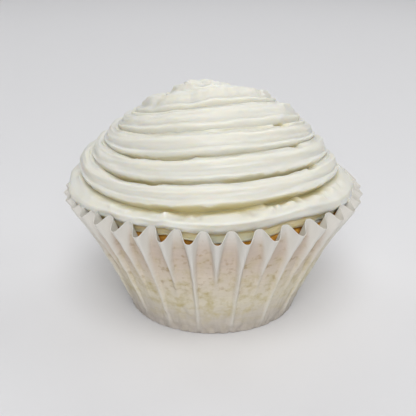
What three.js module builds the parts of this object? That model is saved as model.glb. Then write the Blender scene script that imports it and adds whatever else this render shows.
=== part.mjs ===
// A frosted cupcake: a sponge baked in a pleated greaseproof case, under one rope of piped icing.
//
// Frame: millimetres, +Z up. The origin is the middle of the case's foot, on the table, and -Y is
// the front. A compass angle is measured at the axis from the front, and grows towards +X.

import * as THREE from 'three';
import { LoftGeometry } from 'three/addons/geometries/LoftGeometry.js';
import { mergeGeometries, mergeVertices } from 'three/addons/utils/BufferGeometryUtils.js';

const TURN = 2 * Math.PI;
const GAP = 0.35; // clearance between pieces that touch

// Paper case: a flat disc of paper, pressed into a foot and a pleated wall.
const DISC_RADIUS = 60;
const PLEATS = 40;
const RIDGE_SHARE = [0.12, 0.62]; // share of a pleat that stands out as a ridge: foot, rim
const RIDGE_RAMP = 5; // the power by which that share grows up the wall
const WEAK_PLEAT = [0.15, 0.6]; // levels between which every other ridge rises to its full depth
const PAPER = 0.3; // thickness
const FOOT_RADIUS = 21.3; // flat part that rests on the table
const HEEL_RADIUS = 23.2; // where the wall's line meets the table; the heel rounds this corner
const HEEL_CURVE = { radius: 22.6, height: 0.5 };
const RIM_RADIUS = 40;
const RIM_HEIGHT = 33.5;
const WALL_BOW = 0.22; // how far the wall sags inwards from a straight cone
const WALL_LEVELS = [0.07, 0.16, 0.3, 0.48, 0.68, 0.85, 1];
const FOOT_SPREAD = 3; // degrees by which the pleats lean away from the front, down at the foot
const WANDER_MEAN = 3.4; // degrees by which all the folds are turned
const PLEAT_WANDER = [ // uneven spacing: waves around the rim, degrees
  { waves: 1, size: 1.8, phase: -33 },
  { waves: 2, size: 3.7, phase: -11 },
  { waves: 3, size: 1.5, phase: -156 },
];

// Sponge: fills the case out to the flats between the ridges, and has a rounded crust edge.
const SPONGE_TOP = 33.1;
const SPONGE_LEVELS = [0.08, 0.3, 0.6, 0.86];
const CRUST_EDGE = [{ inset: -0.3, below: 2.1 }, { inset: 0.8, below: 0.9 }, { inset: 3, below: 0 }];

// Icing: one rope, laid as a spiral that climbs from the cake's edge to a blunt peak.
// The crease under the rope runs through these radii and heights, one pair a turn. The rope starts
// and ends at the back.
const ICING_BASE_RADIUS = 34.8;
const ICING_BASE_HEIGHT = SPONGE_TOP + GAP;
const ICING_DROOP = 1.1; // its edge hangs this far down over the crust
const ICING_ROOF_RADIUS = 32.2; // inside this the icing lies flat on the sponge
const CREASE_RADII = [35.4, 32.4, 29.1, 25.3, 21.9, 14, 8.4, 0];
const CREASE_HEIGHTS = [37.6, 40.9, 44.2, 48.1, 51.8, 56, 59.8, 60.6];
const FIRST_CREASE = 0.5; // turns; whole numbers lie at the front
const TURNS = CREASE_RADII.length - 1;
const START_TAPER = 0.09; // turns over which the rope's first end swells to full size
const SWIRL_SHIFT = -0.4; // the swirl's axis stands this far off the case's axis, along X
const LIFT_FRONT = [-0.013, 0.44]; // slope of a turn, raised at the front: lowest and top turn
const LIFT_SIDE = [-0.046, 0.034]; // the same, raised on the +X side
const WOBBLE = [1.35, 0.24]; // mm that a turn rises and falls, twice in each round
const WOBBLE_RADIUS = 15; // the wobble dies away inside this radius
const BACK_SHARE = 0.54; // the back of a turn dips by this share of its lift at the front
// The rope across, from its lower crease (0) to its upper one (1), with its bulge as a share of
// its width. The lowest turn bulges less at its foot, where it clears the paper, and more above.
const ROPE_SECTION = [
  { across: 0, bulge: 0, lowest: 0 },
  { across: 0.04, bulge: 0.24, lowest: 0.04 },
  { across: 0.13, bulge: 0.34, lowest: 0.12 },
  { across: 0.24, bulge: 0.31, lowest: 0.21 },
  { across: 0.37, bulge: 0.39, lowest: 0.31 },
  { across: 0.58, bulge: 0.42, lowest: 0.48 },
  { across: 0.8, bulge: 0.34, lowest: 0.42 },
  { across: 0.94, bulge: 0.18, lowest: 0.22 },
  { across: 1, bulge: 0, lowest: 0 },
];
const WIDEST_ROPE = 6.5; // a bulge grows no further where the turns lie wider apart than this
const PEAK_FLATTENING = { from: 5.2, to: 6.5, share: 0.45 }; // the bulge dwindles over these turns
// From one share of the climb to another, the peak's +X side comes lower by a slope, and all of
// the peak is pushed towards -X.
const PEAK_LEAN = { from: 0.63, to: 0.92, slope: 0.13 };
const PEAK_SHIFT = { from: 0.8, to: 0.97, distance: -2 };
const CREASE_DEPTH = 0.7; // the creases lie this far below the radii and heights above
const STEPS_A_TURN = 56;

const PAPER_FINISH = { color: 0xcfc8bb, roughness: 0.85, metalness: 0 };
const SPONGE_FINISH = { color: 0xa8702c, roughness: 0.9, metalness: 0 };
const ICING_FINISH = { color: 0xeeece2, roughness: 0.5, metalness: 0 };

/** One closed body from parts of its surface that share their border points. */
function closedBody(pieces) {
  const bare = pieces.map((piece) => piece.deleteAttribute('normal').deleteAttribute('uv'));
  const welded = mergeVertices(mergeGeometries(bare), 1e-3);
  const corners = welded.getIndex().array;
  const kept = [];
  for (let i = 0; i < corners.length; i += 3) {
    const [a, b, c] = corners.slice(i, i + 3);
    if (a !== b && b !== c && c !== a) {
      kept.push(a, b, c);
    }
  }
  welded.setIndex(kept);
  welded.computeVertexNormals();
  return welded;
}

function namedMesh(name, geometry, finish) {
  const mesh = new THREE.Mesh(geometry, new THREE.MeshStandardMaterial(finish));
  mesh.name = name;
  return mesh;
}

/** The point at a compass angle, a radius and a height. */
function polar(angle, radius, height) {
  return new THREE.Vector3(radius * Math.sin(angle), -radius * Math.cos(angle), height);
}

// ---- Paper case ----------------------------------------------------------------------------

const wallLength = DISC_RADIUS - HEEL_RADIUS;
const wallSlope = Math.atan2(RIM_RADIUS - HEEL_RADIUS, RIM_HEIGHT);

function wallRadius(level) {
  const straight = THREE.MathUtils.lerp(HEEL_RADIUS, RIM_RADIUS, level);
  return straight - WALL_BOW * (RIM_RADIUS - HEEL_RADIUS) * level * (1 - level);
}

/** Compass angle of a place along the wall, counted in pleats from one ridge to the next. */
function pleatAngle(place, level) {
  const even = (TURN * place) / PLEATS;
  let wander = WANDER_MEAN + FOOT_SPREAD * (1 - level) * Math.sin(even);
  for (const { waves, size, phase } of PLEAT_WANDER) {
    wander += size * Math.sin(waves * even + THREE.MathUtils.degToRad(phase));
  }
  return even + THREE.MathUtils.degToRad(wander);
}

/**
 * The ridges at a level: the share of a pleat that each takes, half its width, and how far it
 * stands out, which takes up the paper that the wall has no room for.
 */
function ridge(level) {
  const share = THREE.MathUtils.lerp(...RIDGE_SHARE, level ** RIDGE_RAMP);
  const room = (TURN * wallRadius(level)) / PLEATS;
  const paper = (TURN * (HEEL_RADIUS + wallLength * level)) / PLEATS;
  const halfWidth = (share * room) / 2;
  const flank = halfWidth + (paper - room) / 2;
  return { share, halfWidth, depth: Math.sqrt(flank ** 2 - halfWidth ** 2) };
}

/** The fold lines at a level: each pleat's ridge and the two edges of the flat beside it. */
function foldLines(level) {
  const half = ridge(level).share / 2;
  const lines = [];
  for (let pleat = 0; pleat < PLEATS; pleat++) {
    const rise = pleat % 2 ? 1 : THREE.MathUtils.smoothstep(level, ...WEAK_PLEAT);
    lines.push({ angle: pleatAngle(pleat, level), rise });
    lines.push({ angle: pleatAngle(pleat + half, level), rise: 0 });
    lines.push({ angle: pleatAngle(pleat + 1 - half, level), rise: 0 });
  }
  return lines;
}

/** Point on the wall: inwards is how far it lies inside the line of the full ridges. */
function wallPoint(angle, level, inwards) {
  const radius = wallRadius(level) - inwards * Math.cos(wallSlope);
  const height = RIM_HEIGHT * level + inwards * Math.sin(wallSlope);
  return polar(angle, radius, height);
}

function flatRing(radius, height) {
  return foldLines(0).map(({ angle }) => polar(angle, radius, height));
}

/** The wall's outer face at a level. */
function outerRing(level) {
  const { depth } = ridge(level);
  return foldLines(level).map(({ angle, rise }) => wallPoint(angle, level, (1 - rise) * depth));
}

/** The wall's inner face at a level: a ridge is thicker through its fold than a flat. */
function innerRing(level) {
  const { halfWidth, depth } = ridge(level);
  return foldLines(level).map(({ angle, rise }) => {
    const through = PAPER * Math.hypot(1, (rise * depth) / halfWidth);
    return wallPoint(angle, level, Math.min((1 - rise) * depth + through, depth + PAPER));
  });
}

function paperCase() {
  const sections = [
    flatRing(0, 0),
    flatRing(FOOT_RADIUS, 0),
    flatRing(HEEL_CURVE.radius, HEEL_CURVE.height),
    ...WALL_LEVELS.map(outerRing),
    ...WALL_LEVELS.toReversed().map(innerRing),
    flatRing(FOOT_RADIUS - PAPER / 2, PAPER),
    flatRing(0, PAPER),
  ];
  return closedBody([new LoftGeometry(sections)]);
}

// ---- Sponge --------------------------------------------------------------------------------

function spongeRing(level) {
  const inwards = ridge(level).depth + PAPER + GAP;
  return foldLines(level).map(({ angle }) => wallPoint(angle, level, inwards));
}

function sponge() {
  const sides = SPONGE_LEVELS.map(spongeRing);
  const crust = CRUST_EDGE.map(({ inset, below }) => sides.at(-1).map((point) => {
    const shrink = 1 - inset / Math.hypot(point.x, point.y);
    return new THREE.Vector3(point.x * shrink, point.y * shrink, SPONGE_TOP - below);
  }));
  const sections = [flatRing(FOOT_RADIUS - 2 * PAPER - GAP, PAPER + GAP), ...sides, ...crust];
  return closedBody([new LoftGeometry(sections, { capStart: true, capEnd: true })]);
}

// ---- Icing ---------------------------------------------------------------------------------

const creaseProfile = new THREE.SplineCurve(
  CREASE_RADII.map((radius, turn) => new THREE.Vector2(radius, CREASE_HEIGHTS[turn])),
);

/** How far the rope has swollen to its full size: 0 at its first end, and soon 1. */
function fullness(turns) {
  return 1 - Math.exp(-Math.max(0, turns - FIRST_CREASE) / START_TAPER);
}

/** Share of the way up the swirl, from the first crease to the peak. */
function climb(turns) {
  return THREE.MathUtils.clamp((turns - FIRST_CREASE) / TURNS, 0, 1);
}

/** Radius and height of the crease after a number of turns, before the turn is tilted. */
function crease(turns) {
  const base = new THREE.Vector2(ICING_BASE_RADIUS, ICING_BASE_HEIGHT - ICING_DROOP);
  const along = climb(turns);
  const tangent = creaseProfile.getTangent(along);
  const inwards = new THREE.Vector2(-tangent.y, tangent.x);
  const depth = along < 1 ? CREASE_DEPTH : 0;
  const point = creaseProfile.getPoint(along).addScaledVector(inwards, depth);
  point.x = Math.max(0, point.x);
  return base.lerp(point, fullness(turns));
}

/** Places a radius and height on a turn of the swirl, tilted by a share of the full tilt. */
function onTiltedTurn(turns, across, radius, height, share) {
  const up = climb(turns + across);
  const angle = TURN * turns;
  const cosine = Math.cos(angle);
  const towardsFront = cosine * ((1 + BACK_SHARE) / 2 + ((1 - BACK_SHARE) / 2) * cosine);
  const lift = radius * THREE.MathUtils.lerp(...LIFT_FRONT, up) * towardsFront
    + radius * THREE.MathUtils.lerp(...LIFT_SIDE, up) * Math.sin(angle)
    + THREE.MathUtils.lerp(...WOBBLE, up) * Math.sin(2 * angle)
      * Math.min(1, radius / WOBBLE_RADIUS);
  const lean = PEAK_LEAN.slope * THREE.MathUtils.smoothstep(up, PEAK_LEAN.from, PEAK_LEAN.to);
  const lowered = radius * lean * Math.max(0, Math.sin(angle));
  const point = polar(angle, radius, height + share * lift - lowered);
  const pushed = THREE.MathUtils.smoothstep(up, PEAK_SHIFT.from, PEAK_SHIFT.to);
  point.x += SWIRL_SHIFT + PEAK_SHIFT.distance * pushed;
  return point;
}

/** One cut across the rope, whose lower crease has run the given number of turns. */
function ropeCut(turns) {
  const lower = crease(turns);
  const upper = crease(turns + 1);
  const width = upper.distanceTo(lower);
  const outwards = new THREE.Vector2(upper.y - lower.y, lower.x - upper.x).normalize();
  const peak = THREE.MathUtils.smoothstep(turns, PEAK_FLATTENING.from, PEAK_FLATTENING.to);
  const size = Math.min(width, WIDEST_ROPE) * THREE.MathUtils.lerp(1, PEAK_FLATTENING.share, peak);
  return ROPE_SECTION.map(({ across, bulge, lowest }) => {
    const out = size * THREE.MathUtils.lerp(lowest, bulge, fullness(turns));
    const point = lower.clone().lerp(upper, across).addScaledVector(outwards, out);
    const share = THREE.MathUtils.lerp(fullness(turns), fullness(turns + 1), across);
    return onTiltedTurn(turns, across, Math.max(0, point.x), point.y, share);
  });
}

function icing() {
  const steps = (TURNS + 1) * STEPS_A_TURN;
  const first = FIRST_CREASE - 1;
  const cuts = Array.from({ length: steps + 1 }, (_, i) => ropeCut(first + i / STEPS_A_TURN));
  const rim = cuts.slice(0, STEPS_A_TURN).map((cut) => cut[0]);
  const roof = (radius) => rim.map(({ x, y }) => new THREE.Vector3(
    SWIRL_SHIFT + ((x - SWIRL_SHIFT) * radius) / ICING_BASE_RADIUS,
    (y * radius) / ICING_BASE_RADIUS,
    ICING_BASE_HEIGHT,
  ));
  const underside = new LoftGeometry([roof(0), roof(ICING_ROOF_RADIUS), rim]);
  const rope = new LoftGeometry(cuts.reverse(), { closed: false });
  return closedBody([rope, underside]);
}

const cupcake = new THREE.Group();
cupcake.add(namedMesh('paper_case', paperCase(), PAPER_FINISH));
cupcake.add(namedMesh('sponge', sponge(), SPONGE_FINISH));
cupcake.add(namedMesh('icing', icing(), ICING_FINISH));

export default cupcake;
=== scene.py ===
# A frosted cupcake: a sponge baked in a pleated greaseproof case, under one rope of piped buttercream.
import math

import bpy
import numpy as np
from mathutils import Matrix, Vector, noise


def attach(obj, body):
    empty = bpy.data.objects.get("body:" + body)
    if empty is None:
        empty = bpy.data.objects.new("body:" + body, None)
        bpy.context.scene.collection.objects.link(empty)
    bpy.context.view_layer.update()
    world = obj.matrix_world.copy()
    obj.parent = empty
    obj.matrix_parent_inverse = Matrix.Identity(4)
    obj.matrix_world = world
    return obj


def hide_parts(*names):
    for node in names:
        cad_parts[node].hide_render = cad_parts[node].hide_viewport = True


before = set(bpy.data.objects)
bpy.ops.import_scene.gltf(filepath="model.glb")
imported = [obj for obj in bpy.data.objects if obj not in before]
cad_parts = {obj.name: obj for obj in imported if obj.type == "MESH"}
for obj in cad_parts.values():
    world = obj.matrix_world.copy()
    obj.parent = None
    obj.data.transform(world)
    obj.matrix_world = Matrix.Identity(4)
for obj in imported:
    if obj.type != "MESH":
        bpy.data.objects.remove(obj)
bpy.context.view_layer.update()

# ---- Paper case -----------------------------------------------------------------------------
# One flat disc of bleached greaseproof paper, pressed by a ribbed die into a flat foot and a wall.
# The wall has less room than paper, so the rest stands out as ridges, crisp and white; the flats
# between them cling to the cake, and the fat in the crumb makes them darker and half clear.
MM = 0.001  # the pieces' sizes are in mm
TURN = 2 * math.pi
PLEATS = 40
DISC_RADIUS = 60.0
FOOT_RADIUS = 21.3
HEEL_RADIUS = 23.2
RIM_RADIUS = 40.0
RIM_HEIGHT = 33.5
PAPER = 0.1
WALL_LENGTH = DISC_RADIUS - HEEL_RADIUS
WALL_SLOPE = math.atan2(RIM_RADIUS - HEEL_RADIUS, RIM_HEIGHT)
WALL_BOW = 0.22
# the ribs of the die: a level is 0 at the heel and 1 at the rim, and a share is one of a pleat's room
RIDGE_SHARE = (0.12, 0.62)
RIDGE_RAMP = 5
WEAK_RIDGE_FROM = (0.12, 0.38)  # levels between which the weak ridges, every other one, begin
WEAK_RIDGE_FULL = 0.8
WEAK_RIDGE_CYCLE = 8
WANDER_MEAN = 3.4  # degrees, as the next two
FOOT_SPREAD = 3.0
PLEAT_WANDER = ((1, 1.8, -33), (2, 3.7, -11), (3, 1.5, -156))  # waves around the case, size, phase
# the sheet between the ribs: creased low down, and in round waves towards the rim
FOLD_SHARE = (
    (0, 0.6), (0.1, 0.42), (0.3, 0.32), (0.6, 0.32), (0.73, 0.4), (0.85, 0.58), (0.93, 0.78), (1, 0.92))
CREST_DIP = 0.12
CREST_WIDTH = 0.12
CREST_ROUNDNESS = 0.3
ROUND_WAVES = (0.55, 0.95)
WAVE_FULLNESS = 0.6
FOLDS_OPEN = (0.75, 1)
TONGUE_TUCK = 0.1  # how much further in the tongues between the ridges stand
TONGUE_UNEVEN = (0.35, 0.5, 1)  # size, and the levels between which it grows
TONGUE_NOISE = (7.3, 1.7, 0.4)  # step from one tongue to the next, and seed
TONGUE_RISE = 0.55
NOTCH_DROP = -0.5
HEEL_ROUNDING = (2.2, 3.0, 0.55)  # mm past the heel to which it grows, where it ends, and its lift
RIPPLE = 0.25
RIPPLE_WAVES = (0.45, 0.45, 0.25)  # waves a mm
HEEL_CREASE = 0.8
HEEL_CREASE_WAVES = (0.35, 0.35, 0.3)
HEEL_CREASE_SEED = 40
HEEL_CREASE_LEVELS = (0.1, 0.3)
# the cling: the gap at which the cake hardly shows through, low down and higher up, and the levels
# between which the stain ends, where a gap of 1 mm counts as 0.1
CLINGING_GAP = (0.45, 1.0)
CLINGING_LEVELS = (0.1, 0.5)
CLINGING_POWER = 1.5
DRY_RIM = (0.85, 1)
# the mesh
SHEET_FACES = 24  # across one pleat
WALL_RINGS = 42
HEEL_RINGS = 6
FOOT_RINGS = (15.0, 8.0, 1.0)
CRISP_FOLD = 60  # degrees from which an edge of the mesh stays sharp


def smoothstep(x, low, high):
    t = np.clip((x - low) / (high - low), 0, 1)
    return t * t * (3 - 2 * t)


def lerp(a, b, t):
    return a + (b - a) * t


def bump(x, middle, width):
    """1 at the middle, and next to 0 from two widths away."""
    return np.exp(-(((x - middle) / width) ** 2))


def fbm(points, octaves=3):
    """Soft random values of about -1 to 1, one for each point."""
    return np.array([noise.fractal(p, 1.0, 2.0, octaves) for p in points])


def wall_radius(level):
    return lerp(HEEL_RADIUS, RIM_RADIUS, level) - WALL_BOW * (RIM_RADIUS - HEEL_RADIUS) * level * (1 - level)


def pleat_room(level):
    """How wide one pleat is on the wall, and in the flat paper."""
    return TURN * wall_radius(level) / PLEATS, TURN * (HEEL_RADIUS + WALL_LENGTH * level) / PLEATS


def ridge_depth(level):
    """How far a ridge has to stand out to take up the paper that the wall has no room for."""
    room, paper = pleat_room(level)
    half_width = lerp(*RIDGE_SHARE, level**RIDGE_RAMP) * room / 2
    flank = half_width + (paper - room) / 2
    return np.sqrt(np.maximum(0, flank**2 - half_width**2))


def ridge_rise(pleat, level):
    """1 on the strong ridges; the weak ones between them rise higher up, at uneven levels."""
    weak_from = lerp(*WEAK_RIDGE_FROM, 0.5 + 0.5 * np.cos(pleat * TURN / WEAK_RIDGE_CYCLE))
    return lerp(smoothstep(level, weak_from, WEAK_RIDGE_FULL), 1, pleat % 2)


def pleat_angle(place, level):
    even = TURN * place / PLEATS
    wander = WANDER_MEAN + FOOT_SPREAD * (1 - level) * np.sin(even)
    for waves, size, phase in PLEAT_WANDER:
        wander = wander + size * np.sin(waves * even + math.radians(phase))
    return even + np.radians(wander)


def wall_point(angle, level, inwards):
    radius = wall_radius(level) - inwards * math.cos(WALL_SLOPE)
    height = RIM_HEIGHT * level + inwards * math.sin(WALL_SLOPE)
    return np.stack([radius * np.sin(angle), -radius * np.cos(angle), height], axis=1)


def share_out(part, level):
    """Where the paper of a pleat, from -1 to 1 with the ridge at 0, goes: how far from the ridge's
    middle, and how far down its flank, both from 0 to 1."""
    share = np.interp(level, *np.transpose(FOLD_SHARE))
    room, paper = pleat_room(level)
    flank = (share * room / 2 + (paper - room) / 2) / (paper / 2)  # share of the paper
    down_flank = np.clip(np.abs(part) / flank, 0, 1)
    on_flat = np.clip((np.abs(part) - flank) / (1 - flank), 0, 1)
    across = np.where(np.abs(part) < flank, share * down_flank, lerp(share, 1, on_flat))
    return across, down_flank


def fold_section(down_flank, level):
    """How far a fold stands out: 1 on its crest, 0 at the foot of its flanks."""
    wave = 0.5 * (1 + np.cos(math.pi * down_flank))
    crease = (1 - down_flank) * (1 - CREST_DIP * bump(down_flank, 0, CREST_WIDTH))
    full_wave = lerp(wave, smoothstep(wave, 0, 1), WAVE_FULLNESS)
    return lerp(lerp(crease, wave, CREST_ROUNDNESS), full_wave, smoothstep(level, *ROUND_WAVES))


def with_foot(wall, from_middle, angle):
    """The wall's points with the flat foot put in, and the heel between them rounded."""
    radius = np.minimum(from_middle, HEEL_RADIUS)
    foot = np.stack([radius * np.sin(angle), -radius * np.cos(angle), 0 * from_middle], axis=1)
    points = np.where((from_middle < HEEL_RADIUS)[:, None], foot, wall)
    grows, end, lift = HEEL_ROUNDING
    turn_up = smoothstep(from_middle, FOOT_RADIUS, HEEL_RADIUS + grows)
    points[:, 2] += lift * turn_up * (1 - smoothstep(from_middle, HEEL_RADIUS, HEEL_RADIUS + end))
    return points


def crumpled(points, from_middle, level):
    """The sheet creased at random near the heel, and in soft ripples over the crumb."""
    outwards = points * [1, 1, 0] / np.maximum(1, from_middle)[:, None]
    off_foot = smoothstep(from_middle, FOOT_RADIUS, HEEL_RADIUS + 1)
    low = off_foot * (1 - smoothstep(level, *HEEL_CREASE_LEVELS))
    ripple = RIPPLE * off_foot * fbm(points * RIPPLE_WAVES)
    creases = HEEL_CREASE * low * np.abs(fbm(points * HEEL_CREASE_WAVES + HEEL_CREASE_SEED))
    return points + outwards * (ripple - creases)[:, None]


def clinging(clear, level):
    """How far the cake shows through paper that stands clear of it by some mm."""
    hardly = lerp(*CLINGING_GAP, smoothstep(level, *CLINGING_LEVELS))
    stain_ends = smoothstep(level + 0.1 * clear, *DRY_RIM)
    return np.exp(-((clear / hardly) ** CLINGING_POWER)) * (1 - stain_ends)


def pressed(flat):
    """Where the points of the flat disc go when it is pressed into the case, and how closely each
    touches the cake."""
    from_middle = np.hypot(flat[:, 0], flat[:, 1])
    place = (np.arctan2(flat[:, 0], -flat[:, 1]) % TURN) / TURN * PLEATS
    level = np.clip((from_middle - HEEL_RADIUS) / WALL_LENGTH, 0, 1)
    pleat = np.round(place)
    part = (place - pleat) * 2
    across, down_flank = share_out(part, level)
    crest = fold_section(down_flank, level)
    stand = ridge_rise(pleat, level) * crest
    depth = ridge_depth(level)
    # towards the edge the folds open wider than the die pressed them, and no two alike
    tongues = [noise.noise((TONGUE_NOISE[0] * tongue, *TONGUE_NOISE[1:])) for tongue in range(PLEATS)]
    tongue = np.array(tongues)[place.astype(int) % PLEATS]
    open_up = smoothstep(level, *FOLDS_OPEN)
    uneven = TONGUE_UNEVEN[0] * tongue * smoothstep(level, *TONGUE_UNEVEN[1:])
    inwards = depth * (1 - stand) + (TONGUE_TUCK * open_up - uneven) * (1 - crest)
    angle = pleat_angle(pleat + np.sign(part) * across / 2, level)
    wall = wall_point(angle, level, inwards)
    wall[:, 2] += lerp(TONGUE_RISE, NOTCH_DROP, stand) * open_up
    points = crumpled(with_foot(wall, from_middle, angle), from_middle, level)
    return points, clinging(depth * stand, level) * smoothstep(from_middle, 0, FOOT_RADIUS)


bpy.ops.object.select_all(action="DESELECT")
bpy.ops.mesh.primitive_circle_add(vertices=PLEATS * SHEET_FACES, radius=DISC_RADIUS, fill_type="NOTHING")
case = bpy.context.object
case.name = "greaseproof_case"
bpy.ops.object.mode_set(mode="EDIT")
bpy.ops.mesh.select_all(action="SELECT")
radii = list(np.linspace(DISC_RADIUS, HEEL_RADIUS, WALL_RINGS))
radii += list(np.linspace(HEEL_RADIUS, FOOT_RADIUS, HEEL_RINGS))[1:] + list(FOOT_RINGS)
for outer, inner in zip(radii, radii[1:]):
    bpy.ops.mesh.extrude_edges_move()
    bpy.ops.transform.resize(value=(inner / outer, inner / outer, 1))
bpy.ops.mesh.edge_face_add()
bpy.ops.mesh.select_all(action="SELECT")
bpy.ops.mesh.normals_make_consistent(inside=False)
bpy.ops.object.mode_set(mode="OBJECT")


def read_points(piece):
    coordinates = np.empty(len(piece.data.vertices) * 3)
    piece.data.vertices.foreach_get("co", coordinates)
    return coordinates.reshape(-1, 3)


def move_points(piece, points):
    piece.data.vertices.foreach_set("co", np.asarray(points, dtype=np.float32).ravel())
    piece.data.update()


def paint(piece, name, values):
    """Stores one number a vertex, for a material to read."""
    layer = piece.data.attributes.new(name, "FLOAT", "POINT")
    layer.data.foreach_set("value", np.asarray(values, dtype=np.float32))


def select_only(piece):
    bpy.ops.object.select_all(action="DESELECT")
    piece.select_set(True)
    bpy.context.view_layer.objects.active = piece


pressed_points, touch = pressed(read_points(case))
move_points(case, pressed_points * MM)
paint(case, "touch", touch)
select_only(case)
thickness = case.modifiers.new("Thickness", "SOLIDIFY")
thickness.thickness = PAPER * MM
thickness.offset = -1
bpy.ops.object.modifier_apply(modifier=thickness.name)
bpy.ops.object.shade_smooth_by_angle(angle=math.radians(CRISP_FOLD))


def linear(hex_colour):
    """An sRGB hex value as a linear colour."""
    srgb = [int(hex_colour[i : i + 2], 16) / 255 for i in (1, 3, 5)]
    return (*[c / 12.92 if c <= 0.04045 else ((c + 0.055) / 1.055) ** 2.4 for c in srgb], 1)


def grey(value):
    return (value, value, value, 1)


def add_node(material, kind, links=(), stops=(), **settings):
    """Adds one node to a material. A link is (input, node, output), stops are the places and
    colours of a ramp, and a setting names an input or a property."""
    node = material.node_tree.nodes.new(kind)
    for name, value in settings.items():
        if name in node.bl_rna.properties:
            setattr(node, name, value)
        else:
            node.inputs[name.replace("_", " ")].default_value = value
    for socket, source, output in links:
        material.node_tree.links.new(source.outputs[output], node.inputs[socket])
    if stops:
        elements = node.color_ramp.elements
        elements.remove(elements[1])
        elements[0].position, elements[0].color = stops[0]
        for position, colour in stops[1:]:
            elements.new(position).color = colour
    return node


def new_material(name):
    material = bpy.data.materials.new(name)
    material.use_nodes = True
    material.node_tree.nodes.clear()
    return material


# thin bleached pulp, rolled smooth: matt and white where it stands clear, and stained by the fat
# where it clings, grey at the foot, yellow above it and pinkish brown under the crust
MIX_A, MIX_B, MIX_RESULT = 6, 7, 2  # sockets of a colour mix
STAIN_HEIGHT = 35
greaseproof = new_material("bleached_greaseproof_paper")
where = add_node(greaseproof, "ShaderNodeTexCoord")
apart = add_node(greaseproof, "ShaderNodeSeparateXYZ", [("Vector", where, "Object")])
up = add_node(greaseproof, "ShaderNodeMapRange", [("Value", apart, "Z")],
              From_Min=0.0, From_Max=STAIN_HEIGHT * MM)
cake_seen = add_node(greaseproof, "ShaderNodeValToRGB", [("Fac", up, "Result")], stops=[
    (0.0, linear("#BBB3AB")), (0.14, linear("#CBC3B7")), (0.32, linear("#DAD2BE")),
    (0.55, linear("#D8CCBB")), (0.75, linear("#CDBDAE")), (0.95, linear("#CBC0B5"))])
# damp yellow spots, most of them low down
fat_spots = add_node(greaseproof, "ShaderNodeTexNoise", [("Vector", where, "Object")],
                     Scale=1 / (3.4 * MM), Detail=4.0, Roughness=0.65)
spots = add_node(greaseproof, "ShaderNodeMapRange", [("Value", fat_spots, "Fac")],
                 From_Min=0.46, From_Max=0.66)
spots_low = add_node(greaseproof, "ShaderNodeValToRGB", [("Fac", up, "Result")], stops=[
    (0.08, grey(0.12)), (0.25, grey(0.75)), (0.45, grey(0.7)), (0.8, grey(0.25))])
spotted = add_node(greaseproof, "ShaderNodeMath", [(0, spots, "Result"), (1, spots_low, "Color")],
                   operation="MULTIPLY")
crumb_yellow = add_node(greaseproof, "ShaderNodeMix", [(0, spotted, "Value"), (MIX_A, cake_seen, "Color")],
                        data_type="RGBA")
crumb_yellow.inputs[MIX_B].default_value = linear("#BDAE76")
# brown specks of the crust, higher up
crumb_specks = add_node(greaseproof, "ShaderNodeTexNoise", [("Vector", where, "Object")],
                        Scale=1 / (1.7 * MM), Detail=2.0, Roughness=0.5)
specks = add_node(greaseproof, "ShaderNodeMapRange", [("Value", crumb_specks, "Fac")],
                  From_Min=0.58, From_Max=0.72, To_Max=0.55)
specks_high = add_node(greaseproof, "ShaderNodeValToRGB", [("Fac", up, "Result")], stops=[
    (0.3, grey(0)), (0.55, grey(1))])
specked = add_node(greaseproof, "ShaderNodeMath", [(0, specks, "Result"), (1, specks_high, "Color")],
                   operation="MULTIPLY")
crumb_brown = add_node(greaseproof, "ShaderNodeMix",
                       [(0, specked, "Value"), (MIX_A, crumb_yellow, MIX_RESULT)], data_type="RGBA")
crumb_brown.inputs[MIX_B].default_value = linear("#A98C6C")
# the cross lines of the sheet, as painted light and shade of its fine wrinkles: 0.6 mm apart, coarser than
# the real ones so that they show
level_lines = add_node(greaseproof, "ShaderNodeMapping", [("Vector", where, "Object")],
                       Scale=(0.16, 0.16, 1.0))
crepe = add_node(greaseproof, "ShaderNodeTexNoise", [("Vector", level_lines, "Vector")],
                 Scale=1 / (0.6 * MM), Detail=2.0, Roughness=0.6)
painted_crepe_shade = add_node(greaseproof, "ShaderNodeMapRange", [("Value", crepe, "Fac")],
                       From_Min=0.3, From_Max=0.7, To_Min=0.96, To_Max=1.03)
shaded = add_node(greaseproof, "ShaderNodeVectorMath",
                  [(0, crumb_brown, MIX_RESULT), (1, painted_crepe_shade, "Result")], operation="MULTIPLY")
touch_read = add_node(greaseproof, "ShaderNodeAttribute", attribute_name="touch")
white = add_node(greaseproof, "ShaderNodeMix", [(0, touch_read, "Fac"), (MIX_B, shaded, "Vector")],
                 data_type="RGBA")
white.inputs[MIX_A].default_value = linear("#E0DDD6")
fibres = add_node(greaseproof, "ShaderNodeTexNoise", [("Vector", where, "Object")],
                  Scale=1 / (0.6 * MM), Detail=3.0, Roughness=0.6)
relief = add_node(greaseproof, "ShaderNodeBump", [("Height", fibres, "Fac")],
                  Strength=0.25, Distance=0.08 * MM)
sheet = add_node(greaseproof, "ShaderNodeBsdfPrincipled",
                 [("Base Color", white, MIX_RESULT), ("Normal", relief, "Normal")], Roughness=0.62, IOR=1.45)
add_node(greaseproof, "ShaderNodeOutputMaterial", [("Surface", sheet, "BSDF")])
case.data.materials.append(greaseproof)
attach(case, "root")
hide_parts("paper_case")

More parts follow.
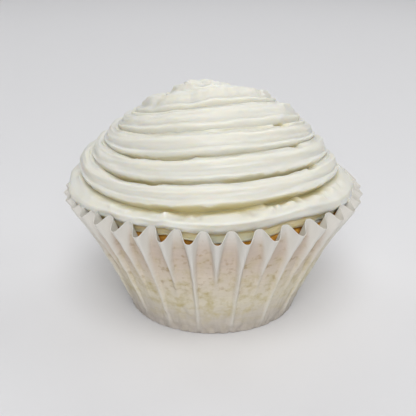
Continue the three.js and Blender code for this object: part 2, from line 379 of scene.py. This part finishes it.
# ---- Sponge ---------------------------------------------------------------------------------
# A plain butter sponge that rose in the case and set against its flats. Only the shoulder of its
# crust shows, between the paper and the icing: baked caramel brown, dry and finely cracked.
SPONGE_TOP = 33.1
SPONGE_FOOT = 0.04  # levels of the case's wall, as the next two
SPONGE_SIDE = (0.1, 0.86)
SPONGE_EDGE = 0.9
SHRINKAGE = (0.6, 0.6)  # how far it shrank from the paper, and how much further low down
SHRINKAGE_LEVELS = (0.6, 0.8)
SHOULDER = 3.2  # radius of the rounded edge
TOP_MIDDLE = 0.03  # share of the edge's radius at which the rings end
CRUST_LUMPS = 0.9  # lumps a mm
CRUST_ROUGHNESS = (0.5, 0.15, 0.4)  # in and out, its highest lump, and down
CRUST_SHOWS = ((24, 30), (20, 30))  # heights and radii over which the roughness grows
SPONGE_FACES = 12  # across one pleat
SIDE_RINGS = 16
SHOULDER_RINGS = 7
TOP_RINGS = 6

bpy.ops.object.select_all(action="DESELECT")
bpy.ops.mesh.primitive_circle_add(vertices=PLEATS * SPONGE_FACES, radius=1, fill_type="NOTHING")
sponge = bpy.context.object
sponge.name = "sponge_cake"
bpy.ops.object.mode_set(mode="EDIT")
bpy.ops.mesh.select_all(action="SELECT")
# one ring a level on the side, then around the shoulder and over the top
levels = [SPONGE_FOOT, *np.linspace(*SPONGE_SIDE, SIDE_RINGS)]
stages = [0] * len(levels) + list(range(1, SHOULDER_RINGS + TOP_RINGS + 1))
levels += [SPONGE_EDGE] * (SHOULDER_RINGS + TOP_RINGS)
for _ in levels[1:]:
    bpy.ops.mesh.extrude_edges_move()
    bpy.ops.transform.translate(value=(0, 0, 1))
bpy.ops.object.mode_set(mode="OBJECT")
tube = read_points(sponge)
ring = np.round(tube[:, 2]).astype(int)
level, stage = np.array(levels)[ring], np.array(stages)[ring]
angle = pleat_angle((np.arctan2(tube[:, 0], -tube[:, 1]) % TURN) / TURN * PLEATS, level)
shrunk = SHRINKAGE[0] + SHRINKAGE[1] * (1 - smoothstep(level, *SHRINKAGE_LEVELS))
side = wall_point(angle, level, ridge_depth(level) + PAPER + shrunk)
edge = np.hypot(side[:, 0], side[:, 1])
bend = np.clip(stage / SHOULDER_RINGS, 0, 1) * math.pi / 2
inwards = np.clip((stage - SHOULDER_RINGS) / TOP_RINGS, 0, 1)
radius = (edge - SHOULDER + SHOULDER * np.cos(bend)) * lerp(1, TOP_MIDDLE, inwards)
height = SPONGE_TOP - SHOULDER + SHOULDER * np.sin(bend)
shoulder = np.stack([radius * np.sin(angle), -radius * np.cos(angle), height], axis=1)
points = np.where((stage > 0)[:, None], shoulder, side)
from_axis = np.hypot(points[:, 0], points[:, 1])
away = points * [1, 1, 0] / np.maximum(1, from_axis)[:, None]
lumps = fbm(points * CRUST_LUMPS, 4)
show = smoothstep(points[:, 2], *CRUST_SHOWS[0]) * smoothstep(from_axis, *CRUST_SHOWS[1])
points = points + away * (np.minimum(CRUST_ROUGHNESS[1], lumps * CRUST_ROUGHNESS[0]) * show)[:, None]
points[:, 2] += np.minimum(0, lumps * CRUST_ROUGHNESS[2]) * show
move_points(sponge, points * MM)


def recalculate_normals(piece):
    select_only(piece)
    bpy.ops.object.mode_set(mode="EDIT")
    bpy.ops.mesh.select_all(action="SELECT")
    bpy.ops.mesh.normals_make_consistent(inside=False)
    bpy.ops.object.mode_set(mode="OBJECT")


bpy.ops.object.mode_set(mode="EDIT")
bpy.ops.mesh.select_all(action="DESELECT")
bpy.ops.mesh.select_non_manifold()
bpy.ops.mesh.edge_face_add()
bpy.ops.mesh.select_all(action="DESELECT")
bpy.ops.mesh.select_non_manifold()
bpy.ops.mesh.fill_holes(sides=0)
bpy.ops.object.mode_set(mode="OBJECT")
recalculate_normals(sponge)
bpy.ops.object.shade_smooth()

# baked crust: dry and dull, its sugar browned unevenly in patches about 3 mm across
crust_brown = new_material("baked_sponge_crust")
where = add_node(crust_brown, "ShaderNodeTexCoord")
bake = add_node(crust_brown, "ShaderNodeTexNoise", [("Vector", where, "Object")],
                Scale=1 / (3 * MM), Detail=5.0, Roughness=0.65)
browning = add_node(crust_brown, "ShaderNodeValToRGB", [("Fac", bake, "Fac")], stops=[
    (0.3, linear("#73490C")), (0.5, linear("#AC7618")), (0.68, linear("#DAA844"))])
grain = add_node(crust_brown, "ShaderNodeTexNoise", [("Vector", where, "Object")],
                 Scale=1 / (0.5 * MM), Detail=3.0, Roughness=0.6)
relief = add_node(crust_brown, "ShaderNodeBump", [("Height", grain, "Fac")], Strength=0.6, Distance=0.2 * MM)
baked = add_node(crust_brown, "ShaderNodeBsdfPrincipled",
                 [("Base Color", browning, "Color"), ("Normal", relief, "Normal")], Roughness=0.7, IOR=1.45)
add_node(crust_brown, "ShaderNodeOutputMaterial", [("Surface", baked, "BSDF")])
sponge.data.materials.append(crust_brown)
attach(sponge, "root")
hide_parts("sponge")

# ---- Icing ----------------------------------------------------------------------------------
# Ivory buttercream from a wide plain nozzle, laid as one rope that climbs from the cake's edge to
# a blunt peak. The rope tears a little where it drags on the turn below, and its skin keeps the
# fine streaks of the nozzle.
BASE_RADIUS = 35.15
ROOF_HEIGHT = 33.45  # inside the roof's radius the icing lies on the sponge
ROOF_RADIUS = 32.2
UNDER_EDGE = (34.6, 32.6)  # radius and height where its underside turns down over the crust
EDGE_HEIGHT = 31.65  # its edge hangs over the crust
# degrees from the front, and how much higher the edge hangs there
EDGE_WANDER = (
    (-180, 0.3), (-120, 0), (-60, 0), (-35, 0.3), (-28, 0.7), (-23, 0.5), (-18, 1.1), (-14, 0.5),
    (-9, 0.3), (1, -0.5), (12, -0.2), (22, 0.2), (27, 0.8), (32, 1.2), (39, 0.9), (48, 0.1), (60, 0),
    (110, 0.2), (150, -0.2), (180, 0.3))
# the spiral crease under the rope: where it passes the back, once a turn
CREASE_RADII = (35.4, 32.4, 29.1, 25.3, 21.9, 14, 8.4, 0)
CREASE_HEIGHTS = (37.6, 40.9, 44.2, 48.1, 51.8, 56, 59.8, 60.6)
FIRST_CREASE = 0.5  # turns from the front at which it begins
TURNS = len(CREASE_RADII) - 1
START_TAPER = 0.09  # turns in which the rope climbs off the cake's edge
FRONT_RISE = (1.02, 0.12, 0.5)  # where the crease rises once more: turns, their spread, and mm
# the tilt of the turns, in mm a mm of radius, at the bottom and at the peak
LIFT_FRONT = (-0.013, 0.44)
LIFT_SIDE = (-0.046, 0.034)
BACK_SHARE = 0.54  # at the back the turns sink by this share of the front's lift
WOBBLE = (1.35, 0.24)  # mm up and down, twice in a turn
WOBBLE_RADIUS = 15
SWIRL_SHIFT = -0.4
# from one share of the climb to another: the slope by which the peak's right side comes lower, and
# the distance by which all of the peak is pushed to the left
PEAK_LEAN = (0.63, 0.92, 0.13)
PEAK_SHIFT = (0.8, 0.97, -2.0)
# across, bulge and slide along the crease-to-crease line, in shares of the rope's size: a thin lip
# that hangs over the crease, a groove, and the full upper part
USUAL_SECTION = np.array([
    (0, 0, 0), (0.025, 0.15, -0.03), (0.05, 0.27, -0.07), (0.08, 0.335, -0.05), (0.13, 0.36, 0),
    (0.19, 0.33, 0), (0.26, 0.3, 0), (0.36, 0.38, 0), (0.5, 0.455, 0), (0.62, 0.47, 0), (0.75, 0.41, 0),
    (0.87, 0.27, 0), (0.94, 0.14, 0), (1, 0, 0)])
LOWEST_SECTION = np.array([
    (0, 0, 0), (0.03, 0.02, 0), (0.1, 0.04, 0), (0.25, 0.07, 0.01), (0.315, 0.1, 0.02), (0.335, 0.25, -0.02),
    (0.37, 0.29, 0), (0.42, 0.31, 0), (0.5, 0.345, 0), (0.56, 0.345, 0), (0.64, 0.4, 0), (0.72, 0.4, 0),
    (0.81, 0.35, 0), (0.89, 0.27, 0), (0.95, 0.15, 0), (1, 0, 0)])
SECTION_STEPS = 400
SECTION_ROUNDING = 0.014  # over which share of the section a corner is rounded
SECTION_REACH = 30  # steps after which the rounding ends
WIDEST_ROPE = 6.5
PEAK_FLATTENING = (5.2, 6.5, 0.4)  # the bulge dwindles over these turns, to this share
BLUNT_END = (6.76, 0.13, 1.1)  # where the rope was pinched off: turns, their spread, and mm it stands up
# places across the lowest turn, and across the usual ones
LIP = (0.37, 0.05)
LIP_WIDTH = 0.05
SHOULDER_FROM = (0.6, 0.68)
SHOULDER_TO = 0.93
LIP_SOFTNESS = (0.4, 0.35)  # how much flatter it is over a shut crease, and more so where turns merge
SHOULDER_FALL = 0.6
SHOULDER_SLIDE = 0.06
SLIDE_SHARE = (0.3, 0.8)  # over a shut crease, and over a gaping one
LOWEST_SPREAD = (1.9, 0.9)  # at the sides the lowest turn spreads over the paper: mm outwards, mm down
SPREAD_SIDES = (0.66, 0.92)  # sine of the angle from the front
SPREAD_LESS_BEHIND = 0.3
SPREAD_ACROSS = ((0.26, 0.4), (0.5, 0.9))
CREASE_DEPTH = 0.7  # mm by which the section's ends lie in from the crease's line
GAPING_DEPTH = (0.5, 3.2)  # the floor of the crease, where the turns lie close and where they gape
MERGED_DEPTH = -1.15  # where they run together: the crease is filled up
MERGED_TURNS = (2.4, 3.6)
MERGED_SIDES = 0.9
SINK_BELOW = 0.045  # how far across the rope dips into the crease below it
SINK_ABOVE = 0.84  # and from where into the one above
# how far the crease gapes: turns from the front, 0 to 1, and more than 1 in a slit
GAPE = (
    (0.5, 0.3), (0.75, 0.3), (0.86, 0.4), (0.92, 0.7), (0.97, 1), (1.035, 1), (1.058, 0.6), (1.07, 1.2),
    (1.096, 1.2), (1.106, 0.55), (1.116, 0.95), (1.148, 0.95), (1.165, 0.4), (1.25, 0.35), (1.5, 0.5),
    (1.75, 0.35), (1.84, 0.5), (1.87, 0.75), (1.915, 0.75), (1.94, 0.5), (1.97, 0.35), (2.005, 0.2),
    (2.02, 0.55), (2.125, 0.6), (2.14, 1.3), (2.16, 0.35), (2.25, 0.35), (2.5, 0.5), (2.75, 0.3),
    (2.8, 0.6), (2.86, 0.7), (2.88, 1), (2.9, 0.7), (2.93, 0.8), (2.96, 0.75), (3.0, 0.45), (3.08, 0.5),
    (3.12, 0.4), (3.135, 1.8), (3.15, 0.3), (3.25, 0.3), (3.5, 0.45), (3.75, 0.35), (3.8, 0.65),
    (3.83, 0.25), (3.89, 0.55), (3.98, 0.45), (4.0, 0.2), (4.02, 0.6), (4.08, 0.6), (4.1, 0.25),
    (4.12, 1.6), (4.14, 0.4), (4.17, 0.3), (4.25, 0.2), (4.5, 0.35), (4.8, 0.25), (5.0, 0.3),
    (5.25, 0.15), (5.5, 0.3), (5.7, 0.5), (5.85, 0.3), (6.0, 0.1), (6.5, 0.3), (6.72, 2.0), (6.88, 1.5),
    (6.95, 0.1), (7.5, 0.1))
CLOSER_TURNS = (1.9, 3.2)  # over these turns the creases come to gape half as much
CLOSER_SIDES = 0.6
SIDES = (0.6, 1)  # sine of the angle from the front
SIDE_TURNS = (1.3, 1.7)
SOFT_TURNS = (2.2, 4.2)
# marks of the nozzle and of the drag: their sizes in mm
STREAKS = 0.35
LUMPS = (0.7, 0.5)  # on the lowest turn and on the usual ones
TORN_LIP = (0.5, 0.35)  # out, and along the section
RAGGED_EDGE = 0.9
RAGGED_AT = (0.86, 0.08)  # place across, and width
RAGGED_SHUT = 0.1  # share of it over a shut crease
# how long a mark is along the rope in mm, how many lie across it, and the noise's seed and octaves
STREAK_NOISE = (26, 10, 3.1, 2)
LUMP_NOISE = (9, 2.2, 9.7, 3)
LUMP_SLANT = 1.3
TORN_NOISE = (2.2, 5, 5.5, 4)
RAGGED_NOISE = (3.5, 3, 15.5, 4)
PATCH_NOISE = (9, 0, 21.5, 2)
PATCHES = (-0.4, 0.35)  # noise values between which the drag's marks begin
LOWEST_PATCHES = 2  # on the lowest turn they begin this much sooner,
LOWEST_DRAG = 1.5  # and are this much stronger
CALM_TURNS = (3.7, 5, 0.35)  # the drag's marks dwindle over these turns, to this share
MARKS_FADE = 0.05  # across, next to the creases
TIP_FADE = (0.5, 9)  # mm from the axis
THIN_ROPE = 3  # mm wide, under which the marks fade
ROPE_RADIUS = 30  # at which turns are counted as mm along the rope, for its marks
# how far across the painted yellow shade of a crease reaches, up the turn above it and down the one below
CREASE_SHADE_WIDTHS = (0.045, 0.09)
CREASE_SHADE_STRENGTH = 1.25
UNDERSIDE_SHADE_ENDS = (0.3, 0.35)  # across the lowest turn: the painted shade on the part that hangs in shadow against the crust ends here
STEPS_A_TURN = 420
FRONT_CROWDING = 0.4  # how much closer the steps are at the front than on average
FACES_ACROSS = 27
CREASE_CROWDING = 0.11  # how much closer the faces are at the creases
WELD = 0.005  # mm


def spline(knots, along):
    """A smooth curve through evenly spaced knots, at places from 0 to 1 along it."""
    knots = np.asarray(knots, dtype=float)
    last = len(knots) - 1
    place = along * last
    i = np.minimum(place.astype(int), last)
    w = place - i
    p0, p1 = knots[np.maximum(i - 1, 0)], knots[i]
    p2, p3 = knots[np.minimum(i + 1, last)], knots[np.minimum(i + 2, last)]
    v0, v1 = (p2 - p0) / 2, (p3 - p1) / 2
    return ((2 * p1 - 2 * p2 + v0 + v1) * w + (-3 * p1 + 3 * p2 - 2 * v0 - v1)) * w * w + v0 * w + p1


def climb(turns):
    return np.clip((turns - FIRST_CREASE) / TURNS, 0, 1)


def fullness(turns):
    """0 on the lowest turn, which lies on the cake's edge, and 1 on those above it."""
    return 1 - np.exp(-np.maximum(0, turns - FIRST_CREASE) / START_TAPER)


def at_side(turns):
    """0 in front and behind, 1 at the sides, where the turns lie closer from the second one on."""
    return smoothstep(np.abs(np.sin(TURN * turns)), *SIDES) * smoothstep(turns, *SIDE_TURNS)


def gape(turns):
    closer = lerp(1, 0.5, smoothstep(turns, *CLOSER_TURNS)) * (1 - CLOSER_SIDES * at_side(turns))
    return np.interp(turns, *np.transpose(GAPE)) * closer


def crease_floor(turns):
    """How deep the crease is; higher up, the soft turns run together where it does not gape."""
    merged = np.maximum(smoothstep(turns, *MERGED_TURNS), MERGED_SIDES * at_side(turns))
    return lerp(lerp(GAPING_DEPTH[0], MERGED_DEPTH, merged), GAPING_DEPTH[1], gape(turns))


def edge_height(turns):
    """How high the icing's lower edge hangs: it follows the cake's uneven crust."""
    degrees = (turns * 360 + 180) % 360 - 180
    return EDGE_HEIGHT + np.interp(degrees, *np.transpose(EDGE_WANDER))


def crease(turns, depth):
    """Radius and height of the crease, cut to a depth, after a number of turns from the front."""
    along = climb(turns)
    radius, height = spline(CREASE_RADII, along), spline(CREASE_HEIGHTS, along)
    before, after = np.clip(along - 1e-4, 0, 1), np.clip(along + 1e-4, 0, 1)
    step_out = spline(CREASE_RADII, after) - spline(CREASE_RADII, before)
    step_up = spline(CREASE_HEIGHTS, after) - spline(CREASE_HEIGHTS, before)
    size = np.hypot(step_out, step_up)
    depth = np.where(along < 1, depth, 0)
    radius = np.maximum(0, radius - step_up / size * depth)
    height = height + step_out / size * depth
    height = height + FRONT_RISE[2] * bump(turns, *FRONT_RISE[:2])
    full = fullness(turns)
    return lerp(BASE_RADIUS, radius, full), lerp(edge_height(turns), height, full)


def smooth_section(section, column, across):
    """One column of a rope's section, with its corners rounded, at places across it."""
    fine = np.linspace(0, 1, SECTION_STEPS + 1)
    values = np.interp(fine, section[:, 0], section[:, column])
    reach = SECTION_REACH
    kernel = bump(np.arange(-reach, reach + 1) / SECTION_STEPS, 0, SECTION_ROUNDING)
    padded = np.concatenate([-values[reach:0:-1], values, -values[-2 : -2 - reach : -1]])
    return np.interp(across, fine, np.convolve(padded, kernel / kernel.sum(), "valid"))


def rope_section(turns, across, lip, below, above):
    """How far the surface bulges out and slides up, in shares of the rope's size. Where a crease
    gapes, the lip above it hangs lower and the turn below falls away sooner."""
    full = fullness(turns)
    lowest = [smooth_section(LOWEST_SECTION, column, across) for column in (1, 2)]
    usual = [smooth_section(USUAL_SECTION, column, across) for column in (1, 2)]
    bulge, slide = lerp(lowest[0], usual[0], full), lerp(lowest[1], usual[1], full)
    soft = np.maximum(smoothstep(turns, *SOFT_TURNS), at_side(turns))
    flat_lip = (LIP_SOFTNESS[0] + LIP_SOFTNESS[1] * soft) * (1 - np.minimum(1, below)) * lip
    fall = SHOULDER_FALL * above * smoothstep(across, lerp(*SHOULDER_FROM, full), SHOULDER_TO)
    drawn_in = SHOULDER_SLIDE * above * np.sin(math.pi * smoothstep(across, SHOULDER_FROM[0], 1))
    return bulge * (1 - flat_lip) * (1 - fall), slide * lerp(*SLIDE_SHARE, below) - drawn_in


def rope_marks(turns, across, lip, above):
    """Streaks of the nozzle, soft lumps, and edges torn where the rope drags on the turn below: by
    how many mm they move the surface out, and along the section."""
    along = turns * TURN * ROPE_RADIUS
    full = fullness(turns)

    def uneven(length, count, seed, octaves, slant=0):
        """Noise that changes once in a length of rope, and a number of times across it."""
        places = across * count + turns * slant
        return fbm(np.stack([along / length, places, turns * 0 + seed], axis=1), octaves)

    streaks, lumps = uneven(*STREAK_NOISE), uneven(*LUMP_NOISE, LUMP_SLANT)
    torn, ragged = uneven(*TORN_NOISE), uneven(*RAGGED_NOISE)
    begin = PATCHES[0] * lerp(LOWEST_PATCHES, 1, full)
    drag = smoothstep(uneven(*PATCH_NOISE), begin, PATCHES[1]) * lerp(LOWEST_DRAG, 1, full)
    drag = drag * lerp(1, CALM_TURNS[2], smoothstep(turns, *CALM_TURNS[:2]))
    upper_edge = RAGGED_EDGE * ragged * bump(across, *RAGGED_AT) * np.minimum(1, above + RAGGED_SHUT)
    out = STREAKS * streaks + lerp(*LUMPS, full) * lumps + (TORN_LIP[0] * torn * lip + upper_edge) * drag
    return out, (TORN_LIP[1] * torn * lip + upper_edge) * drag


def tilted(turns, across, radius, height):
    """The rope's points in the round: its turns are tilted and uneven, and its peak leans."""
    up = climb(turns + across)
    angle = TURN * turns
    cosine = np.cos(angle)
    to_front = cosine * ((1 + BACK_SHARE) / 2 + (1 - BACK_SHARE) / 2 * cosine)
    lift = radius * lerp(*LIFT_FRONT, up) * to_front + radius * lerp(*LIFT_SIDE, up) * np.sin(angle)
    lift = lift + lerp(*WOBBLE, up) * np.sin(2 * angle) * np.minimum(1, radius / WOBBLE_RADIUS)
    lean = smoothstep(up, *PEAK_LEAN[:2]) * PEAK_LEAN[2]
    share = lerp(fullness(turns), fullness(turns + 1), across)
    height = height + share * lift - radius * lean * np.maximum(0, np.sin(angle))
    shift = SWIRL_SHIFT + smoothstep(up, *PEAK_SHIFT[:2]) * PEAK_SHIFT[2]
    return np.stack([radius * np.sin(angle) + shift, -radius * np.cos(angle), height], axis=1)


def rope(turns, across):
    """Points of the rope's surface, in mm, from turns along it and across from crease to crease,
    and its painted shade: how deep it lies in a crease, from 0 to 1, or 2 where it hangs in shadow
    against the crust."""
    low_r, low_h = crease(turns, CREASE_DEPTH)
    high_r, high_h = crease(turns + 1, CREASE_DEPTH)
    width = np.hypot(high_r - low_r, high_h - low_h)
    out_r = (high_h - low_h) / np.maximum(width, 1e-9)
    out_h = (low_r - high_r) / np.maximum(width, 1e-9)
    full = fullness(turns)
    below = lerp(1, gape(turns), full)
    above = gape(turns + 1)
    lip = bump(across, lerp(*LIP, full), LIP_WIDTH)
    bulge, slide = rope_section(turns, across, lip, below, above)
    marks_out, marks_along = rope_marks(turns, across, lip, above)
    # the marks fade in the creases, near the tip and where the rope is thin
    window = smoothstep(across, 0, MARKS_FADE) * smoothstep(1 - across, 0, MARKS_FADE)
    window = window * smoothstep(lerp(low_r, high_r, across), *TIP_FADE) * np.minimum(1, width / THIN_ROPE)
    size = np.minimum(width, WIDEST_ROPE)
    size = size * lerp(1, PEAK_FLATTENING[2], smoothstep(turns, *PEAK_FLATTENING[:2]))
    pinched = BLUNT_END[2] * bump(turns, *BLUNT_END[:2]) * np.sin(math.pi * np.sqrt(across))
    out = size * bulge + pinched + window * marks_out
    slide = size * slide + window * marks_along
    # down into the creases
    deep_low = crease(turns, crease_floor(turns))
    deep_high = crease(turns + 1, crease_floor(turns + 1))
    sink_low, sink_high = 1 - smoothstep(across, 0, SINK_BELOW), smoothstep(across, SINK_ABOVE, 1)
    radius = lerp(low_r, high_r, across) + out_r * out - out_h * slide
    radius = radius + (deep_low[0] - low_r) * sink_low + (deep_high[0] - high_r) * sink_high
    height = lerp(low_h, high_h, across) + out_h * out + out_r * slide
    height = height + (deep_low[1] - low_h) * sink_low + (deep_high[1] - high_h) * sink_high
    # at the sides the lowest turn spreads over the tips of the paper
    sideways = smoothstep(np.abs(np.sin(TURN * turns)), *SPREAD_SIDES)
    sideways = sideways * (1 - SPREAD_LESS_BEHIND * (1 - np.cos(TURN * turns)))
    spread = (1 - full) * sideways * smoothstep(across, *SPREAD_ACROSS[0])
    spread = spread * (1 - smoothstep(across, *SPREAD_ACROSS[1]))
    radius = np.maximum(0, radius) + LOWEST_SPREAD[0] * spread
    height = height - LOWEST_SPREAD[1] * spread
    # painted yellow shade deep in the creases, where the turns shade each other
    painted_shade = below * bump(across, 0, CREASE_SHADE_WIDTHS[0]) + above * bump(1 - across, 0, CREASE_SHADE_WIDTHS[1])
    painted_shade = np.minimum(1, CREASE_SHADE_STRENGTH * painted_shade)
    # painted shade on the lowest turn's underside, which hangs in the shadow of its lip against the crust
    underside_shade = 2 * (1 - full) * (1 - smoothstep(across, *UNDERSIDE_SHADE_ENDS))
    return tilted(turns, across, radius, height), np.maximum(painted_shade, underside_shade)


bpy.ops.object.select_all(action="DESELECT")
bpy.ops.mesh.primitive_grid_add(
    x_subdivisions=(TURNS + 1) * STEPS_A_TURN, y_subdivisions=FACES_ACROSS, size=1)
icing = bpy.context.object
icing.name = "buttercream_swirl"
flat = read_points(icing)
step = np.round((flat[:, 0] + 0.5) * (TURNS + 1) * STEPS_A_TURN) / STEPS_A_TURN + FIRST_CREASE - 1
along = step - FRONT_CROWDING * np.sin(TURN * step) / TURN
across = flat[:, 1] + 0.5
across = across - CREASE_CROWDING * np.sin(TURN * across)
swirl_points, painted_shade = rope(along, across)
move_points(icing, swirl_points * MM)
# the painted shade, for the material to read
paint(icing, "painted_shade", np.clip(painted_shade / 2, 0, 1))
bpy.ops.object.mode_set(mode="EDIT")
bpy.ops.mesh.select_all(action="SELECT")
bpy.ops.mesh.remove_doubles(threshold=WELD * MM)
bpy.ops.mesh.select_all(action="DESELECT")
bpy.ops.mesh.select_non_manifold()
# close it below: in and up from its edge, then flat over the sponge
for outer, inner, height in ((BASE_RADIUS, *UNDER_EDGE), (UNDER_EDGE[0], ROOF_RADIUS, ROOF_HEIGHT)):
    bpy.ops.mesh.extrude_edges_move()
    bpy.ops.transform.resize(value=(inner / outer, inner / outer, 0),
                             center_override=(SWIRL_SHIFT * MM, 0, height * MM))
bpy.ops.mesh.edge_face_add()
bpy.ops.object.mode_set(mode="OBJECT")
recalculate_normals(icing)
bpy.ops.object.shade_smooth()

# whipped butter and sugar: soft, dense and full of fine air, so light goes a few mm into it; ivory
# outside, with a painted yellow shade in the creases and on the underside that hangs in shadow against the
# crust
buttercream = new_material("whipped_buttercream")
where = add_node(buttercream, "ShaderNodeTexCoord")
painted_shade_read = add_node(buttercream, "ShaderNodeAttribute", attribute_name="painted_shade")
# ivory, then the painted crease shade at 0.5 and the painted underside shade at 1
cream_and_painted_shade = add_node(buttercream, "ShaderNodeValToRGB", [("Fac", painted_shade_read, "Fac")], stops=[
    (0.0, linear("#DEDDD4")), (0.5, linear("#D3C898")), (1.0, linear("#E3D5AC"))])
air = add_node(buttercream, "ShaderNodeTexNoise", [("Vector", where, "Object")],
               Scale=1 / (0.7 * MM), Detail=3.0, Roughness=0.55)
relief = add_node(buttercream, "ShaderNodeBump", [("Height", air, "Fac")], Strength=0.2, Distance=0.1 * MM)
fat = add_node(buttercream, "ShaderNodeBsdfPrincipled",
               [("Base Color", cream_and_painted_shade, "Color"), ("Normal", relief, "Normal")],
               Roughness=0.5, IOR=1.46, Subsurface_Weight=1.0, Subsurface_Scale=2.6 * MM,
               Subsurface_Radius=(1.0, 0.85, 0.6))
add_node(buttercream, "ShaderNodeOutputMaterial", [("Surface", fat, "BSDF")])
icing.data.materials.append(buttercream)
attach(icing, "root")
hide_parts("icing")

# ---- Table, light and camera ----------------------------------------------------------------
# The cupcake stands on a pale table that fills the view. Large soft lamps hang above its front,
# and weaker ones stand around its sides and back.
LAMPS = (  # name, place and size in metres, and watts
    ("softbox_above", (0.0, 0.0, 1.0), 0.8, 0.7),
    ("softbox_above_front", (0.0, -0.45, 0.9), 0.6, 3.8),
    ("softbox_front", (0.0, -0.85, 0.55), 0.6, 5.2),
    ("softbox_left", (-0.85, 0.0, 0.5), 0.6, 0.5),
    ("softbox_right", (0.85, 0.0, 0.5), 0.6, 1.5),
    ("softbox_back_left", (-0.6, 0.6, 0.65), 0.6, 1.9),
    ("softbox_back_right", (0.6, 0.6, 0.65), 0.6, 1.9),
    ("softbox_back", (0.0, 0.8, 0.6), 0.6, 1.5))
LIT_POINT = Vector((0, 0, 0.02))
CAMERA_PLACE = (-1.42, -200, 106.4)
CAMERA_DOWN = 21.87  # degrees
CAMERA_ROLL = 0.24
CAMERA_LENS = 67.58

bpy.ops.object.select_all(action="DESELECT")
bpy.ops.mesh.primitive_plane_add(size=6, location=(0, 0, 0))
table = bpy.context.object
table.name = "table"
# matt laminate: even and without gloss, so all that shows on it is the cupcake's soft shadow
laminate = new_material("pale_matt_laminate")
top = add_node(laminate, "ShaderNodeBsdfPrincipled", Base_Color=linear("#E1E1E3"), Roughness=0.8)
add_node(laminate, "ShaderNodeOutputMaterial", [("Surface", top, "BSDF")])
table.data.materials.append(laminate)

for name, place, size, power in LAMPS:
    lamp_data = bpy.data.lights.new(name, "AREA")
    lamp_data.shape = "DISK"
    lamp_data.size = size
    lamp_data.energy = power
    lamp = bpy.data.objects.new(name, lamp_data)
    bpy.context.scene.collection.objects.link(lamp)
    lamp.location = place
    lamp.rotation_euler = (LIT_POINT - Vector(place)).to_track_quat("-Z", "Y").to_euler()

backdrop = bpy.data.worlds.new("pale_backdrop")
backdrop.use_nodes = True
backdrop.node_tree.nodes["Background"].inputs["Color"].default_value = linear("#CFD0D2")
backdrop.cycles_visibility.diffuse = False
backdrop.cycles_visibility.glossy = False
backdrop.cycles_visibility.transmission = False
bpy.context.scene.world = backdrop

view = bpy.data.objects.new("camera", bpy.data.cameras.new("camera"))
bpy.context.scene.collection.objects.link(view)
view.data.lens = CAMERA_LENS
view.data.sensor_width = 36
view.data.clip_start = 0.01
view.location = [value * MM for value in CAMERA_PLACE]
level_view = Matrix.Rotation(math.radians(90 - CAMERA_DOWN), 4, "X")
view.rotation_euler = (level_view @ Matrix.Rotation(math.radians(CAMERA_ROLL), 4, "Z")).to_euler()
bpy.context.scene.camera = view
bpy.context.scene.view_settings.view_transform = "Standard"
